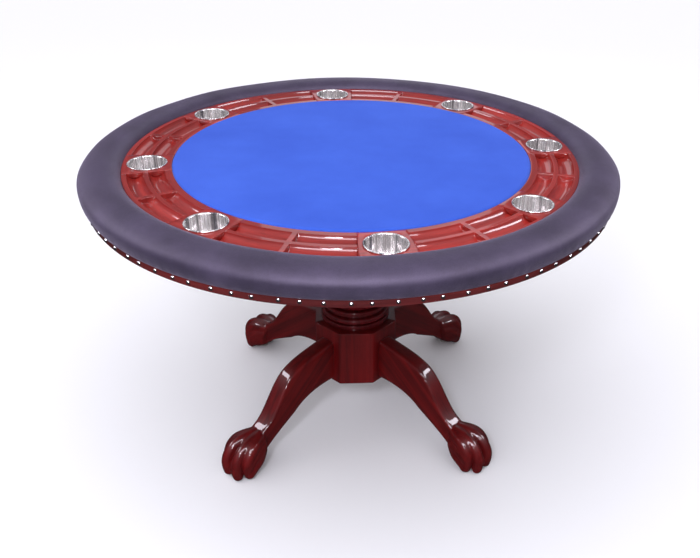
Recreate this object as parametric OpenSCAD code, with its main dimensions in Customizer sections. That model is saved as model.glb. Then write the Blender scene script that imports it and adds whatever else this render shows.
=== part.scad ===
// Round card table: a padded top with a chip ring and eight lift-out cups, on a
// turned pedestal with four cabriole legs. Millimetres, +Z up. The origin is on
// the floor under the middle of the column.

/* [Top] */
// Height of the deck's underside above the floor
top_under_z = 686; // [572:1:720]
// Diameter of the deck board
deck_d = 1240; // [1080:8:1488]
// Thickness of the deck board
deck_t = 18; // [15:1:30]
// Thickness of the band round the deck's edge
band_t = 2.5; // [1:0.5:4]
// Thickness of the riser board between the deck and the ring
riser_t = 16; // [12:1:30]
// Turn of the top on its pedestal, in degrees
top_turn = 6.5; // [0:0.5:10]

/* [Nailheads] */
// Number of decorative nails round the band
nail_count = 88; // [40:1:96]
// Diameter of a nail's domed head
nail_d = 10; // [7:0.5:11]
// Height of a nail's domed head
nail_h = 3.6; // [2:0.1:4]
// Drop of the nails below the top of the band
nail_drop = 9.5; // [7:0.5:10]
// Largest error in a hand-placed nail's angle, in degrees
nail_wander = 0.35; // [0:0.05:0.6]
// Largest error in a hand-placed nail's height
nail_stray = 0.4; // [0:0.1:0.8]

/* [Chip ring] */
// Number of seats, each with a cup block and a tray
seats = 8; // [6:1:8]
// Thickness of the ring
ring_t = 22; // [19:1:32]
// Width of the ring, from the playing panel to the rail
ring_w = 112.5; // [106:0.5:130]
// Half the angle that a cup block takes, in degrees
block_half = 6.5; // [6:0.1:9]
// Width of the flat lip beside the playing panel
lip_w = 16; // [10:0.5:20]
// Width of the rib between the two grooves
rib_w = 10.5; // [8:0.5:14]
// Radius of a groove's round bottom
groove_r = 20; // [19:0.5:21]
// Depth of a groove
groove_depth = 13; // [9:0.5:15]
// Thickness of the divider in the middle of a tray
divider_w = 11; // [6:0.5:16]
// Open seam between two pieces of the ring
seam = 0.3; // [0.1:0.1:1]

/* [Cups] */
// Diameter over a cup's rolled rim
cup_rim_d = 92; // [86:0.5:96]
// Outside diameter of a cup's body
cup_body_d = 84; // [70:0.5:85]
// Depth of a cup below the ring's top
cup_depth = 54; // [40:1:55]
// Thickness of a cup's sheet steel
cup_wall = 1; // [0.8:0.1:1.5]
// Height of a cup's rolled rim
cup_rim_h = 3; // [2:0.2:4]
// Gap all round between a cup and its hole
cup_gap = 0.6; // [0.3:0.1:1.5]

/* [Playing panel] */
// Thickness of the panel's board
board_t = 18; // [12:1:19]
// Thickness of the foam on the board
play_foam_t = 6.5; // [3:0.5:10]
// Thickness of the felt
felt_t = 1.5; // [0.8:0.1:2.5]
// Gap between the felt's edge and the ring
panel_gap = 0.6; // [0.3:0.1:2]

/* [Rail] */
// Width of the deck that the rail covers
rail_seat_w = 80; // [70:1:100]
// Overhang of the rail beyond the edge band
rail_overhang = 12.5; // [9:0.5:16]
// Height of the rail's crest above the ring
rail_rise = 20; // [14:1:30]
// Distance of the crest from the rail's inner face
rail_crest_in = 37; // [30:1:45]
// Drop from the ring's top to the rail's widest line
rail_wide_drop = 10; // [6:1:14]
// Thickness of the vinyl cover
vinyl_t = 1.2; // [0.8:0.1:2]
// Thickness of the padding on the rail's inner face
pad_in_t = 7.5; // [5:0.5:15]
// Distance of the wooden core from the deck's edge
core_inset = 8; // [4:1:20]
// Height of the wooden core
core_t = 34; // [24:1:38]

/* [Column] */
// Width of the octagonal hub across its flats
hub_flats = 215; // [190:1:258]
// Height of the hub's underside above the floor
hub_z = 130; // [120:1:150]
// Height of the hub
hub_h = 160; // [150:1:180]
// Width of the hub's octagonal cavity across its flats
cavity_flats = 76; // [68:1:90]
// Thickness of the wood over the cavity
hub_crown_t = 28; // [20:1:35]
// Thickness of the cap that closes the cavity
cap_t = 6; // [4:1:8]
// Radius of the moulding at the column's foot
moulding_r = 92; // [84:1:96]
// Height of the moulding
moulding_h = 52; // [44:1:60]
// Largest radius of the urn
urn_r = 105; // [95:1:115]
// Radius of the urn's neck
neck_r = 58; // [45:1:70]
// Height of the capital
capital_h = 40; // [30:1:60]
// Radius of the capital
capital_r = 96; // [85:1:110]
// Width of the square plate under the deck
plate_w = 360; // [300:5:420]
// Thickness of the plate
plate_t = 25; // [20:1:30]

/* [Legs] */
// Number of legs
legs = 4; // [4:1:4]
// Thickness of a leg
leg_t = 48; // [40:0.2:57.6]
// Distance of a toe's front from the column's axis
leg_reach = 472; // [430:1:540]
// Height of a leg's top where it meets the hub
leg_top_z = 255; // [235:1:262]
// Height of a leg's underside where it meets the hub
leg_low_z = 137; // [132:1:150]
// Width of a paw over its outer toes
paw_w = 86; // [74:1:100]
// Height of a paw's knuckles
paw_h = 100; // [85:1:106]
// Thickness of the glide under a paw
glide_t = 2; // [1:0.5:4]
// Diameter of a glide
glide_d = 22; // [16:1:26]

/* [Fasteners] */
// Diameter of the tie rod
rod_d = 12; // [10:1:14]
// Height of the tie rod's nuts
rod_nut_h = 10; // [8:1:12]
// Thickness of the tie rod's washers
washer_t = 3; // [2:0.5:4]
// Diameter of a leg's hanger bolts
bolt_d = 8; // [6:1:10]
// Length of a hanger bolt inside its leg
bolt_grip = 44; // [30:1:52]
// Diameter of a wood screw's shank
screw_d = 5; // [4:0.5:6]
// Gap all round a fastener that passes through a piece
bolt_gap = 0.5; // [0.2:0.1:1]
// Diameter of a leg's dowels
dowel_d = 10; // [8:1:12]
// Length of a dowel on each side of its joint
dowel_half = 18; // [12:1:24]

/* [Hidden] */
$fn = 96;

// Radii of the top, from the outside inwards.
deck_r = deck_d / 2;
band_r = deck_r + band_t;
rail_out_r = band_r + rail_overhang;
rail_in_r = deck_r - rail_seat_w + seam;
ring_out_r = deck_r - rail_seat_w;
ring_in_r = ring_out_r - ring_w;
felt_r = ring_in_r - panel_gap;
cup_circle_r = (ring_in_r + ring_out_r) / 2;

// Heights of the top, from the bottom upwards.
deck_top = top_under_z + deck_t;
riser_top = deck_top + riser_t;
ring_top = riser_top + ring_t;
board_top = riser_top + board_t;
play_foam_top = board_top + play_foam_t;
nail_z = deck_top - nail_drop;

// Chip ring.
seat_turn = 360 / seats;
tray_half = seat_turn / 2 - block_half;
groove_w = 2 * sqrt(pow(groove_r, 2) - pow(groove_r - groove_depth, 2));
groove_axis_z = ring_top - groove_depth + groove_r;
groove_1_r = ring_in_r + lip_w + groove_w / 2;
groove_2_r = groove_1_r + groove_w + rib_w;
divider_half = asin(divider_w / 2 / cup_circle_r);
rib_r = (groove_1_r + groove_2_r) / 2;

// Cups.
cup_r = cup_body_d / 2;
cup_hole_r = cup_r + cup_gap;
cup_base_z = ring_top - cup_depth;
rim_roll_r = cup_rim_h / 2;

// Rail.
crest_r = rail_in_r + rail_crest_in;
rail_inner_drop = 4;
rail_low_a = 31;
rail_low_b = 39.5;
core_in_r = rail_in_r + vinyl_t + pad_in_t;
core_out_r = deck_r - core_inset;
core_top = deck_top + core_t;

// Column.
hub_apothem = hub_flats / 2;
hub_top = hub_z + hub_h;
cavity_top = hub_top - hub_crown_t;
cap_lap = 12;
cap_r = cavity_flats / 2 / cos(22.5) + cap_lap;
urn_z = hub_top + moulding_h;
plate_z = top_under_z - plate_t;
capital_z = plate_z - capital_h;
urn_h = capital_z - urn_z;
urn_foot_r = 74;
urn_top_r = 84;

// Tie rod.
rod_r = rod_d / 2;
rod_nut_r = rod_d * 0.9;
rod_washer_r = rod_d * 1.25;
rod_tail = 8;
rod_high_z = top_under_z - 1;
rod_low_z = cavity_top - washer_t - rod_nut_h - rod_tail;
rod_seat_z = rod_high_z - washer_t - rod_nut_h;

// Legs.
leg_start = 360 / legs / 2;
leg_run = leg_reach - hub_apothem;
knee_z = leg_top_z - 37;
ankle_z = paw_h + 4;
paw_s = leg_reach - 68;
toe_turns = [-68, -25, 25, 68];
toe_r = 13;
knuckle_r = 17;
bolt_r = bolt_d / 2;
bolt_low_z = leg_low_z + 32;
bolt_high_z = leg_top_z - 32;
bolt_levels = [bolt_low_z, bolt_high_z];
bolt_nut_h = 6.5;
bolt_nut_r = bolt_d * 0.9;
bolt_washer_r = bolt_d * 1.1;
bolt_washer_t = 1.6;
cavity_apothem = cavity_flats / 2;
bolt_tail = 3;
bolt_in_s = cavity_apothem - bolt_washer_t - bolt_nut_h - bolt_tail;
dowel_r = dowel_d / 2;
dowel_z = (leg_low_z + leg_top_z) / 2;
dowel_side = leg_t / 4;
glide_nail_r = 1.5;
glide_nail_h = 14;

// Wood screws.
screw_r = screw_d / 2;
head_r = screw_d;
head_h = 2.5;
rail_screws_n = 12;
panel_screws_n = 8;
rail_screw_r = (core_in_r + core_out_r) / 2;
panel_screw_r = ring_in_r - 48;
rail_screw_len = deck_t + 22;
panel_screw_len = deck_t + riser_t + board_t - 5;
ring_screw_len = deck_t + riser_t + ring_t - 7;
plate_screw_len = plate_t + deck_t - 6;
block_screw_in = 6;
tray_screw_turn = tray_half * 0.55;
cap_screw_d = 3;
cap_screw_len = 18;
cap_screw_r = cap_r - cap_lap / 2;

// Colours.
cherry = [0.62, 0.20, 0.20];
mahogany = [0.36, 0.08, 0.09];
bare_wood = [0.78, 0.64, 0.45];
steel = [0.75, 0.75, 0.77];

// Points along an ellipse's arc, from one angle to another.
function arc(cx, cy, a, b, from, to, n) =
    [for (i = [0:n]) let (t = from + (to - from) * i / n) [cx + a * cos(t), cy + b * sin(t)]];

// Points along a cubic Bezier curve, without its last point.
function bezier(p0, p1, p2, p3, n) =
    [for (i = [0:n - 1]) let (t = i / n, u = 1 - t)
        p0 * pow(u, 3) + p1 * 3 * t * u * u + p2 * 3 * t * t * u + p3 * pow(t, 3)];

// Places a part at each turn of a circle of n.
module around(n, first = 0) {
    for (i = [0:n - 1]) rotate([0, 0, first + i * 360 / n]) children();
}

// Turns a part of the top to its place on the pedestal.
module on_top() {
    rotate([0, 0, top_turn]) children();
}

// A flat ring between two radii.
module ring(r_in, r_out, z, h) {
    translate([0, 0, z]) rotate_extrude() translate([r_in, 0]) square([r_out - r_in, h]);
}

// A sector of a flat ring, centred on the X axis.
module sector(r_in, r_out, z, h, half) {
    translate([0, 0, z])
        rotate([0, 0, -half])
            rotate_extrude(angle = 2 * half)
                translate([r_in, 0]) square([r_out - r_in, h]);
}

// A wood screw driven upwards, its head's underside flush with z.
module screw(x, z, len, r = screw_r) {
    translate([x, 0, z]) cylinder(r = r * 2, h = head_h);
    translate([x, 0, z]) cylinder(r = r, h = len);
}

// The clearance hole of a screw and its counterbore.
module screw_way(x, z, h, r = screw_r) {
    translate([x, 0, z - 1]) cylinder(r = r * 2 + bolt_gap, h = head_h + 1);
    translate([x, 0, z - 1]) cylinder(r = r + bolt_gap, h = h + 2);
}

// The pilot hole that a screw's thread fills.
module screw_pilot(x, z, len, r = screw_r) {
    translate([x, 0, z]) cylinder(r = r, h = len);
}

// Where each group of screws stands. The children are drawn at each place.
module rail_screw_places() {
    around(rail_screws_n, 15) children();
}

module panel_screw_places() {
    around(panel_screws_n, 22.5) children();
}

module tray_screw_places() {
    for (side = [-1, 1]) rotate([0, 0, side * tray_screw_turn]) children();
}

module plate_screw_places() {
    for (x = [-1, 0, 1], y = [-1, 0, 1])
        if (x != 0 || y != 0) translate([x, y] * (plate_w / 2 - 30)) children();
}

// The screws of the ring, or another shape in their place.
module ring_screw_shape(z, h, way) {
    around(seats, seat_turn / 2)
        tray_screw_places()
            if (way) screw_way(rib_r, z, h); else screw(rib_r, z, h);
    around(seats)
        for (x = [ring_in_r + block_screw_in, ring_out_r - block_screw_in])
            if (way) screw_way(x, z, h); else screw(x, z, h);
}

// The clearance holes that pass through the riser board.
module riser_ways(z, h) {
    around(seats) translate([cup_circle_r, 0, z]) cylinder(r = cup_hole_r, h = h);
    around(seats, seat_turn / 2)
        tray_screw_places()
            translate([rib_r, 0, z]) cylinder(r = screw_r + bolt_gap, h = h);
    around(seats)
        for (x = [ring_in_r + block_screw_in, ring_out_r - block_screw_in])
            translate([x, 0, z]) cylinder(r = screw_r + bolt_gap, h = h);
    panel_screw_places()
        translate([panel_screw_r, 0, z]) cylinder(r = screw_r + bolt_gap, h = h);
}

// ---------------------------------------------------------------- the top

module deck() {
    color(bare_wood) on_top() difference() {
        translate([0, 0, top_under_z]) cylinder(r = deck_r, h = deck_t, $fn = 180);
        riser_ways(top_under_z - 1, deck_t + 2);
        ring_screw_shape(top_under_z, deck_t, true);
        rail_screw_places() screw_way(rail_screw_r, top_under_z, deck_t);
        panel_screw_places() screw_way(panel_screw_r, top_under_z, deck_t);
        rotate([0, 0, -top_turn])
            plate_screw_places() screw_pilot(0, plate_z, plate_screw_len);
    }
}

module edge_band() {
    color(cherry) on_top() ring(deck_r, band_r, top_under_z, deck_t, $fn = 180);
}

// A domed head: the cap of a sphere as wide as nail_d and nail_h high.
module nailhead() {
    sphere_r = (pow(nail_d / 2, 2) + pow(nail_h, 2)) / (2 * nail_h);
    translate([band_r, 0, nail_z]) rotate([0, 90, 0]) intersection() {
        translate([0, 0, nail_h - sphere_r]) sphere(r = sphere_r, $fn = 32);
        cylinder(r = nail_d, h = nail_d);
    }
}

module nailheads() {
    color(steel) on_top() for (i = [0:nail_count - 1])
        rotate([0, 0, i * 360 / nail_count + nail_wander * sin(i * 131)])
            translate([0, 0, nail_stray * sin(i * 77)]) nailhead();
}

module riser_board() {
    color(bare_wood) on_top() difference() {
        translate([0, 0, deck_top]) cylinder(r = ring_out_r, h = riser_t, $fn = 180);
        riser_ways(deck_top - 1, riser_t + 2);
    }
}

// One groove's stretch on one side of the divider.
module pocket(r, side) {
    from = side > 0 ? divider_half : -tray_half - 1;
    rotate([0, 0, from])
        rotate_extrude(angle = tray_half + 1 - divider_half)
            translate([r, groove_axis_z]) circle(r = groove_r, $fn = 64);
}

module chip_tray(i) {
    half = tray_half - asin(seam / cup_circle_r);
    color(cherry) on_top() rotate([0, 0, (i - 0.5) * seat_turn]) difference() {
        sector(ring_in_r, ring_out_r, riser_top, ring_t, half);
        for (r = [groove_1_r, groove_2_r], side = [-1, 1]) pocket(r, side);
        tray_screw_places() screw_pilot(rib_r, top_under_z, ring_screw_len);
    }
}

module cup_block(i) {
    color(cherry) on_top() rotate([0, 0, (i - 1) * seat_turn]) difference() {
        sector(ring_in_r, ring_out_r, riser_top, ring_t, block_half);
        translate([cup_circle_r, 0, riser_top - 1]) cylinder(r = cup_hole_r, h = ring_t + 2);
        for (x = [ring_in_r + block_screw_in, ring_out_r - block_screw_in])
            screw_pilot(x, top_under_z, ring_screw_len);
    }
}

// A pressed steel cup: a cylinder with a rounded foot and a rolled rim.
module cup(i) {
    foot_r = 7;
    inner_r = cup_r - cup_wall;
    mouth_z = ring_top + cup_rim_h;
    rim_r = cup_rim_d / 2;
    outline = concat(
        [[0, cup_base_z]],
        arc(cup_r - foot_r, cup_base_z + foot_r, foot_r, foot_r, -90, 0, 8),
        [[cup_r, ring_top]],
        arc(rim_r - rim_roll_r, ring_top + rim_roll_r, rim_roll_r, rim_roll_r, -90, 90, 8),
        [[inner_r + cup_rim_h / 2, mouth_z]],
        [[inner_r, mouth_z - cup_rim_h / 2]],
        arc(cup_r - foot_r, cup_base_z + foot_r, foot_r - cup_wall, foot_r - cup_wall, 0, -90, 8),
        [[0, cup_base_z + cup_wall]]
    );
    color(steel) on_top() rotate([0, 0, (i - 1) * seat_turn])
        translate([cup_circle_r, 0, 0]) rotate_extrude() polygon(outline);
}

module play_board() {
    color(bare_wood) on_top() difference() {
        translate([0, 0, riser_top]) cylinder(r = felt_r - felt_t, h = board_t, $fn = 180);
        panel_screw_places() screw_pilot(panel_screw_r, top_under_z, panel_screw_len);
    }
}

// The foam on the board, its top edge rounded.
module play_foam() {
    r = felt_r - felt_t;
    round_r = play_foam_t - 1;
    outline = concat(
        [[0, board_top], [r, board_top]],
        arc(r - round_r, play_foam_top - round_r, round_r, round_r, 0, 90, 6),
        [[0, play_foam_top]]
    );
    color("khaki") on_top() rotate_extrude($fn = 180) polygon(outline);
}

// The felt over the foam and down the board's edge.
module play_felt() {
    r = felt_r - felt_t;
    round_r = play_foam_t - 1;
    outline = concat(
        [[r, riser_top], [felt_r, riser_top]],
        arc(r - round_r, play_foam_top - round_r, round_r + felt_t, round_r + felt_t, 0, 90, 6),
        [[0, play_foam_top + felt_t], [0, play_foam_top]],
        arc(r - round_r, play_foam_top - round_r, round_r, round_r, 90, 0, 6)
    );
    color("royalblue") on_top() rotate_extrude($fn = 180) polygon(outline);
}

// Half section of the padded rail, drawn inside its cover by a depth.
// It runs from the inner foot, over the crest, to the outer foot.
function rail_section(depth) = concat(
    [[rail_in_r + depth, deck_top]],
    arc(crest_r, ring_top - rail_inner_drop, rail_crest_in - depth,
        rail_rise + rail_inner_drop - depth, 180, 90, 8),
    arc(crest_r, ring_top - rail_wide_drop, rail_out_r - crest_r - depth,
        rail_rise + rail_wide_drop - depth, 82, 0, 9),
    arc(rail_out_r - rail_low_a, ring_top - rail_wide_drop, rail_low_a - depth,
        rail_low_b, -9, -asin((ring_top - rail_wide_drop - deck_top) / rail_low_b), 4)
);

module rail_core() {
    color(bare_wood) on_top() difference() {
        ring(core_in_r, core_out_r, deck_top, core_t, $fn = 180);
        rail_screw_places() screw_pilot(rail_screw_r, top_under_z, rail_screw_len);
    }
}

module rail_foam() {
    core = [
        [core_out_r, deck_top],
        [core_out_r, core_top],
        [core_in_r, core_top],
        [core_in_r, deck_top]
    ];
    color("khaki") on_top()
        rotate_extrude($fn = 180) polygon(concat(rail_section(vinyl_t), core));
}

module rail_cover() {
    inside = rail_section(vinyl_t);
    back = [for (i = [len(inside) - 1:-1:0]) inside[i]];
    color([0.16, 0.14, 0.18]) on_top()
        rotate_extrude($fn = 180) polygon(concat(rail_section(0), back));
}

module rail_screws() {
    color(steel) on_top() rail_screw_places() screw(rail_screw_r, top_under_z, rail_screw_len);
}

module panel_screws() {
    color(steel) on_top() panel_screw_places() screw(panel_screw_r, top_under_z, panel_screw_len);
}

module ring_screws() {
    color(steel) on_top() ring_screw_shape(top_under_z, ring_screw_len, false);
}

// ------------------------------------------------------------- the column

// The bore that the tie rod passes through.
module rod_way(z, h) {
    translate([0, 0, z]) cylinder(r = rod_r + bolt_gap, h = h);
}

module top_plate() {
    color(bare_wood) difference() {
        translate([-plate_w / 2, -plate_w / 2, plate_z]) cube([plate_w, plate_w, plate_t]);
        rod_way(plate_z - 1, plate_t + 2);
        translate([0, 0, rod_seat_z]) cylinder(r = rod_washer_r + bolt_gap, h = plate_t);
        plate_screw_places() screw_way(0, plate_z, plate_t);
    }
}

module plate_screws() {
    color(steel) plate_screw_places() screw(0, plate_z, plate_screw_len);
}

// The cap of the column, which spreads to the plate in a cove.
module capital() {
    lip_h = capital_h * 0.3;
    outline = concat(
        [[0, capital_z], [urn_top_r, capital_z]],
        arc(capital_r, capital_z + 2, capital_r - urn_top_r, capital_h - lip_h - 2, 180, 90, 8),
        [[capital_r, plate_z], [0, plate_z]]
    );
    color(mahogany) difference() {
        rotate_extrude() polygon(outline);
        rod_way(capital_z - 1, capital_h + 2);
    }
}

// The urn swells from its foot, draws in to a neck and flares under the capital.
module urn() {
    foot = [urn_foot_r, urn_z];
    belly = [urn_r, urn_z + urn_h * 0.27];
    neck = [neck_r, urn_z + urn_h * 0.68];
    lip = [urn_top_r, capital_z];
    outline = concat(
        [[0, urn_z]],
        bezier(foot, foot + [18, 6], belly - [0, 42], belly, 8),
        bezier(belly, belly + [0, 54], neck - [0, 54], neck, 10),
        bezier(neck, neck + [0, 40], lip - [10, 26], lip, 8),
        [lip, [0, capital_z]]
    );
    color(mahogany) difference() {
        rotate_extrude() polygon(outline);
        rod_way(urn_z - 1, urn_h + 2);
    }
}

// The turned moulding: a plain ring, a torus, a cove and a thin bead.
module base_moulding() {
    plain_h = moulding_h * 0.25;
    torus_r = moulding_h * 0.165;
    bead_r = moulding_h * 0.085;
    waist_r = moulding_r - torus_r;
    torus_z = hub_top + plain_h + 2 + torus_r;
    bead_z = urn_z - bead_r - 1;
    cove_h = bead_z - bead_r - torus_z - torus_r;
    outline = concat(
        [[0, hub_top], [moulding_r, hub_top]],
        arc(moulding_r - 3, hub_top + plain_h - 3, 3, 3, 0, 90, 4),
        [[waist_r, hub_top + plain_h]],
        arc(waist_r, torus_z, torus_r, torus_r, -90, 90, 10),
        arc(waist_r, torus_z + torus_r + cove_h / 2, -5, cove_h / 2, -80, 80, 8),
        arc(waist_r, bead_z, bead_r, bead_r, -90, 90, 8),
        [[urn_foot_r, urn_z], [0, urn_z]]
    );
    color(mahogany) difference() {
        rotate_extrude() polygon(outline);
        rod_way(hub_top - 1, moulding_h + 2);
    }
}

module tie_rod() {
    color(steel) translate([0, 0, rod_low_z]) cylinder(r = rod_r, h = rod_high_z - rod_low_z);
}

// A nut or washer on the tie rod: an outer shape with the rod's bore.
module on_rod(z, h, r, sides) {
    translate([0, 0, z]) difference() {
        cylinder(r = r, h = h, $fn = sides);
        translate([0, 0, -1]) cylinder(r = rod_r, h = h + 2);
    }
}

module rod_nuts() {
    color(steel) {
        on_rod(cavity_top - washer_t - rod_nut_h, rod_nut_h, rod_nut_r, 6);
        on_rod(rod_seat_z + washer_t, rod_nut_h, rod_nut_r, 6);
    }
}

module rod_washers() {
    color(steel) {
        on_rod(cavity_top - washer_t, washer_t, rod_washer_r, 96);
        on_rod(rod_seat_z, washer_t, rod_washer_r, 96);
    }
}

// An octagonal prism whose flats face the axes and the diagonals.
module octagon(apothem, z, h) {
    translate([0, 0, z]) rotate([0, 0, 22.5]) cylinder(r = apothem / cos(22.5), h = h, $fn = 8);
}

// Where the legs' hanger bolts and dowels cross the hub, along local +X.
module bolt_places() {
    around(legs, leg_start) for (z = bolt_levels) translate([0, 0, z]) rotate([0, 90, 0]) children();
}

module dowel_shape(s, len, gap = 0) {
    for (side = [-1, 1])
        translate([s, side * dowel_side, dowel_z]) rotate([0, 90, 0])
            cylinder(r = dowel_r + gap, h = len);
}

module hub_block() {
    color(mahogany) difference() {
        octagon(hub_apothem, hub_z, hub_h);
        octagon(cavity_apothem, hub_z - 1, cavity_top - hub_z + 1);
        translate([0, 0, hub_z - 1]) cylinder(r = cap_r, h = cap_t + 1);
        rod_way(cavity_top - 1, hub_crown_t + 2);
        bolt_places() cylinder(r = bolt_r + bolt_gap, h = hub_apothem + 1);
        around(legs, leg_start) dowel_shape(hub_apothem - dowel_half, dowel_half + 1);
        around(4) screw_pilot(cap_screw_r, hub_z, cap_screw_len, cap_screw_d / 2);
    }
}

module hub_cap() {
    color(mahogany) difference() {
        translate([0, 0, hub_z]) cylinder(r = cap_r - bolt_gap, h = cap_t);
        around(4) screw_way(cap_screw_r, hub_z, cap_t, cap_screw_d / 2);
    }
}

module cap_screws() {
    color(steel) around(4) screw(cap_screw_r, hub_z, cap_screw_len, cap_screw_d / 2);
}

// --------------------------------------------------------------- the legs

// A leg's side view: X runs out from the hub's face and Y is the height.
module leg_outline() {
    hip = [0, leg_top_z];
    knee = [leg_run * 0.41, knee_z];
    ankle = [leg_run * 0.69, ankle_z];
    knuckle = [leg_run * 0.86, paw_h - 14];
    toe = [leg_run * 0.95, paw_h * 0.4];
    heel = [leg_run * 0.755, glide_t];
    calf = [leg_run * 0.715, paw_h * 0.3];
    shin = [leg_run * 0.39, leg_low_z - 33];
    root = [0, leg_low_z];
    polygon(concat(
        bezier(hip, hip + [leg_run * 0.19, -9], knee + [-leg_run * 0.08, 22], knee, 8),
        bezier(knee, knee + [leg_run * 0.11, -30], ankle + [-leg_run * 0.12, 24], ankle, 8),
        bezier(ankle, ankle + [leg_run * 0.04, -8], knuckle + [-leg_run * 0.06, 12], knuckle, 6),
        bezier(knuckle, knuckle + [leg_run * 0.05, -10], toe + [0, 20], toe, 5),
        [toe, [leg_run * 0.93, glide_t], heel],
        bezier(calf, calf + [-leg_run * 0.07, 27], shin + [leg_run * 0.13, -26], shin, 8),
        bezier(shin, shin + [-leg_run * 0.09, 26], root + [leg_run * 0.17, 5], root, 8),
        [root]
    ));
}

// One toe: from its knuckle down to the pad on the floor.
module toe(turn) {
    side = paw_w / 2 - toe_r;
    reach = leg_reach - paw_s - toe_r;
    hull() {
        translate([paw_s + reach * 0.55 * cos(turn), side * 0.8 * sin(turn), paw_h - 40])
            sphere(r = knuckle_r, $fn = 20);
        translate([paw_s + reach * cos(turn), side * sin(turn), glide_t + toe_r * 0.9])
            sphere(r = toe_r, $fn = 20);
    }
}

// The palm joins the toes and the ankle.
module palm() {
    hull() {
        translate([paw_s - 14, 0, paw_h - 36]) sphere(r = 27, $fn = 24);
        translate([paw_s + 8, 0, 30]) sphere(r = 30, $fn = 24);
    }
}

module leg(i) {
    color(mahogany) rotate([0, 0, leg_start + (i - 1) * 360 / legs]) difference() {
        union() {
            translate([hub_apothem, leg_t / 2, 0])
                rotate([90, 0, 0]) linear_extrude(leg_t) leg_outline();
            for (turn = toe_turns) toe(turn);
            palm();
        }
        translate([0, -leg_reach / 2, glide_t - 100]) cube([leg_reach * 2, leg_reach, 100]);
        for (z = bolt_levels)
            translate([0, 0, z]) rotate([0, 90, 0])
                cylinder(r = bolt_r, h = hub_apothem + bolt_grip);
        dowel_shape(hub_apothem - 1, dowel_half + 1);
        translate([paw_s, 0, 0]) cylinder(r = glide_nail_r, h = glide_t + glide_nail_h);
    }
}

module hanger_bolts() {
    color(steel) bolt_places()
        translate([0, 0, bolt_in_s]) cylinder(r = bolt_r, h = hub_apothem + bolt_grip - bolt_in_s);
}

// A nut or washer on a hanger bolt, at a distance from the column's axis.
module on_bolt(s, h, r, sides) {
    bolt_places() translate([0, 0, s]) difference() {
        cylinder(r = r, h = h, $fn = sides);
        translate([0, 0, -1]) cylinder(r = bolt_r, h = h + 2);
    }
}

module leg_nuts() {
    color(steel) on_bolt(bolt_in_s + bolt_tail, bolt_nut_h, bolt_nut_r, 6);
}

module leg_washers() {
    color(steel) on_bolt(cavity_apothem - bolt_washer_t, bolt_washer_t, bolt_washer_r, 48);
}

module dowels() {
    color(bare_wood) around(legs, leg_start) dowel_shape(hub_apothem - dowel_half, 2 * dowel_half);
}

// A nail-in glide: a disc on the floor and a nail up into the paw.

module glides() {
    color("dimgray") around(legs, leg_start) translate([paw_s, 0, 0]) {
        cylinder(r = glide_d / 2, h = glide_t);
        cylinder(r = glide_nail_r, h = glide_t + glide_nail_h);
    }
}

// ------------------------------------------------------------- the output

deck();
edge_band();
nailheads();
riser_board();
for (i = [1:8]) {
    chip_tray(i);
    cup_block(i);
    cup(i);
}
play_board();
play_foam();
play_felt();
rail_core();
rail_foam();
rail_cover();
rail_screws();
panel_screws();
ring_screws();
top_plate();
plate_screws();
capital();
urn();
base_moulding();
tie_rod();
rod_nuts();
rod_washers();
hub_block();
hub_cap();
cap_screws();
for (i = [1:legs]) leg(i);
hanger_bolts();
leg_nuts();
leg_washers();
dowels();
glides();
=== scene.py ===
# %% [markdown]
# # A round poker table
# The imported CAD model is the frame: it says where every piece stands and how big it is.
# This file gives those pieces their looks. A soft or carved piece is worked out again as a
# smooth surface in the same place, and a plain piece keeps its CAD shape and gets a finish.

# %% Load the frame
import math

import bmesh
import bpy
import numpy as np
from mathutils import Euler, Matrix, Vector


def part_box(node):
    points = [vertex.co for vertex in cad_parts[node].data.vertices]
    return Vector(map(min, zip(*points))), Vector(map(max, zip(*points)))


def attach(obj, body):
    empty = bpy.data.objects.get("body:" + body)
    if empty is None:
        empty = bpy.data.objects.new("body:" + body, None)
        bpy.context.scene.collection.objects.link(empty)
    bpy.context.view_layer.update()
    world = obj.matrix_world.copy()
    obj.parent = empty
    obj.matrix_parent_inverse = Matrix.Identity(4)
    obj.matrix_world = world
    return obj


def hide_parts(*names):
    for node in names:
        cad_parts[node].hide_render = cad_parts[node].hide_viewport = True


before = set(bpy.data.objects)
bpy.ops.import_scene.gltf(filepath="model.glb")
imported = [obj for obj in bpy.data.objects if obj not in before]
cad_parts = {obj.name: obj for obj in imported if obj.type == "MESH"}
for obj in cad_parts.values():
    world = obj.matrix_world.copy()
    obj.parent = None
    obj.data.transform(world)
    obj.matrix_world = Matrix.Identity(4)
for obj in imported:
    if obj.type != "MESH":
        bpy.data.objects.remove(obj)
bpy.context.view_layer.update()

# %% [markdown]
# Lengths here are in metres. The table's main radii and heights are read from the frame, so
# a change of the CAD model moves the surfaces with it. Only sizes that the boxes of the CAD
# nodes can't tell are written as numbers.

# %% Main sizes of the table
MM = 0.001


def top_of(node):
    """Height of a CAD node's highest point."""
    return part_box(node)[1][2]


def foot_of(node):
    """Height of a CAD node's lowest point."""
    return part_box(node)[0][2]


def radius_of(node):
    """Radius of a round CAD node that is centred on the column: half of its longer side."""
    low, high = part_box(node)
    return max(high[0] - low[0], high[1] - low[1]) / 2


RING_TOP = top_of("chip_tray_1")
RING_FOOT = foot_of("chip_tray_1")
RING_OUT = radius_of("riser_board")
FELT_R = radius_of("play_felt")
FELT_TOP = top_of("play_felt")
DECK_TOP = top_of("deck")
DECK_FOOT = foot_of("deck")
DECK_R = radius_of("deck")
BAND_R = radius_of("edge_band")
RAIL_R = radius_of("rail_cover")
RAIL_TOP = top_of("rail_cover")
SEATS = 8
SEAT_TURN = 2 * math.pi / SEATS


def middle_of(node):
    """Middle of a CAD node's box."""
    low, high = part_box(node)
    return (np.array(low) + np.array(high)) / 2


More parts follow.
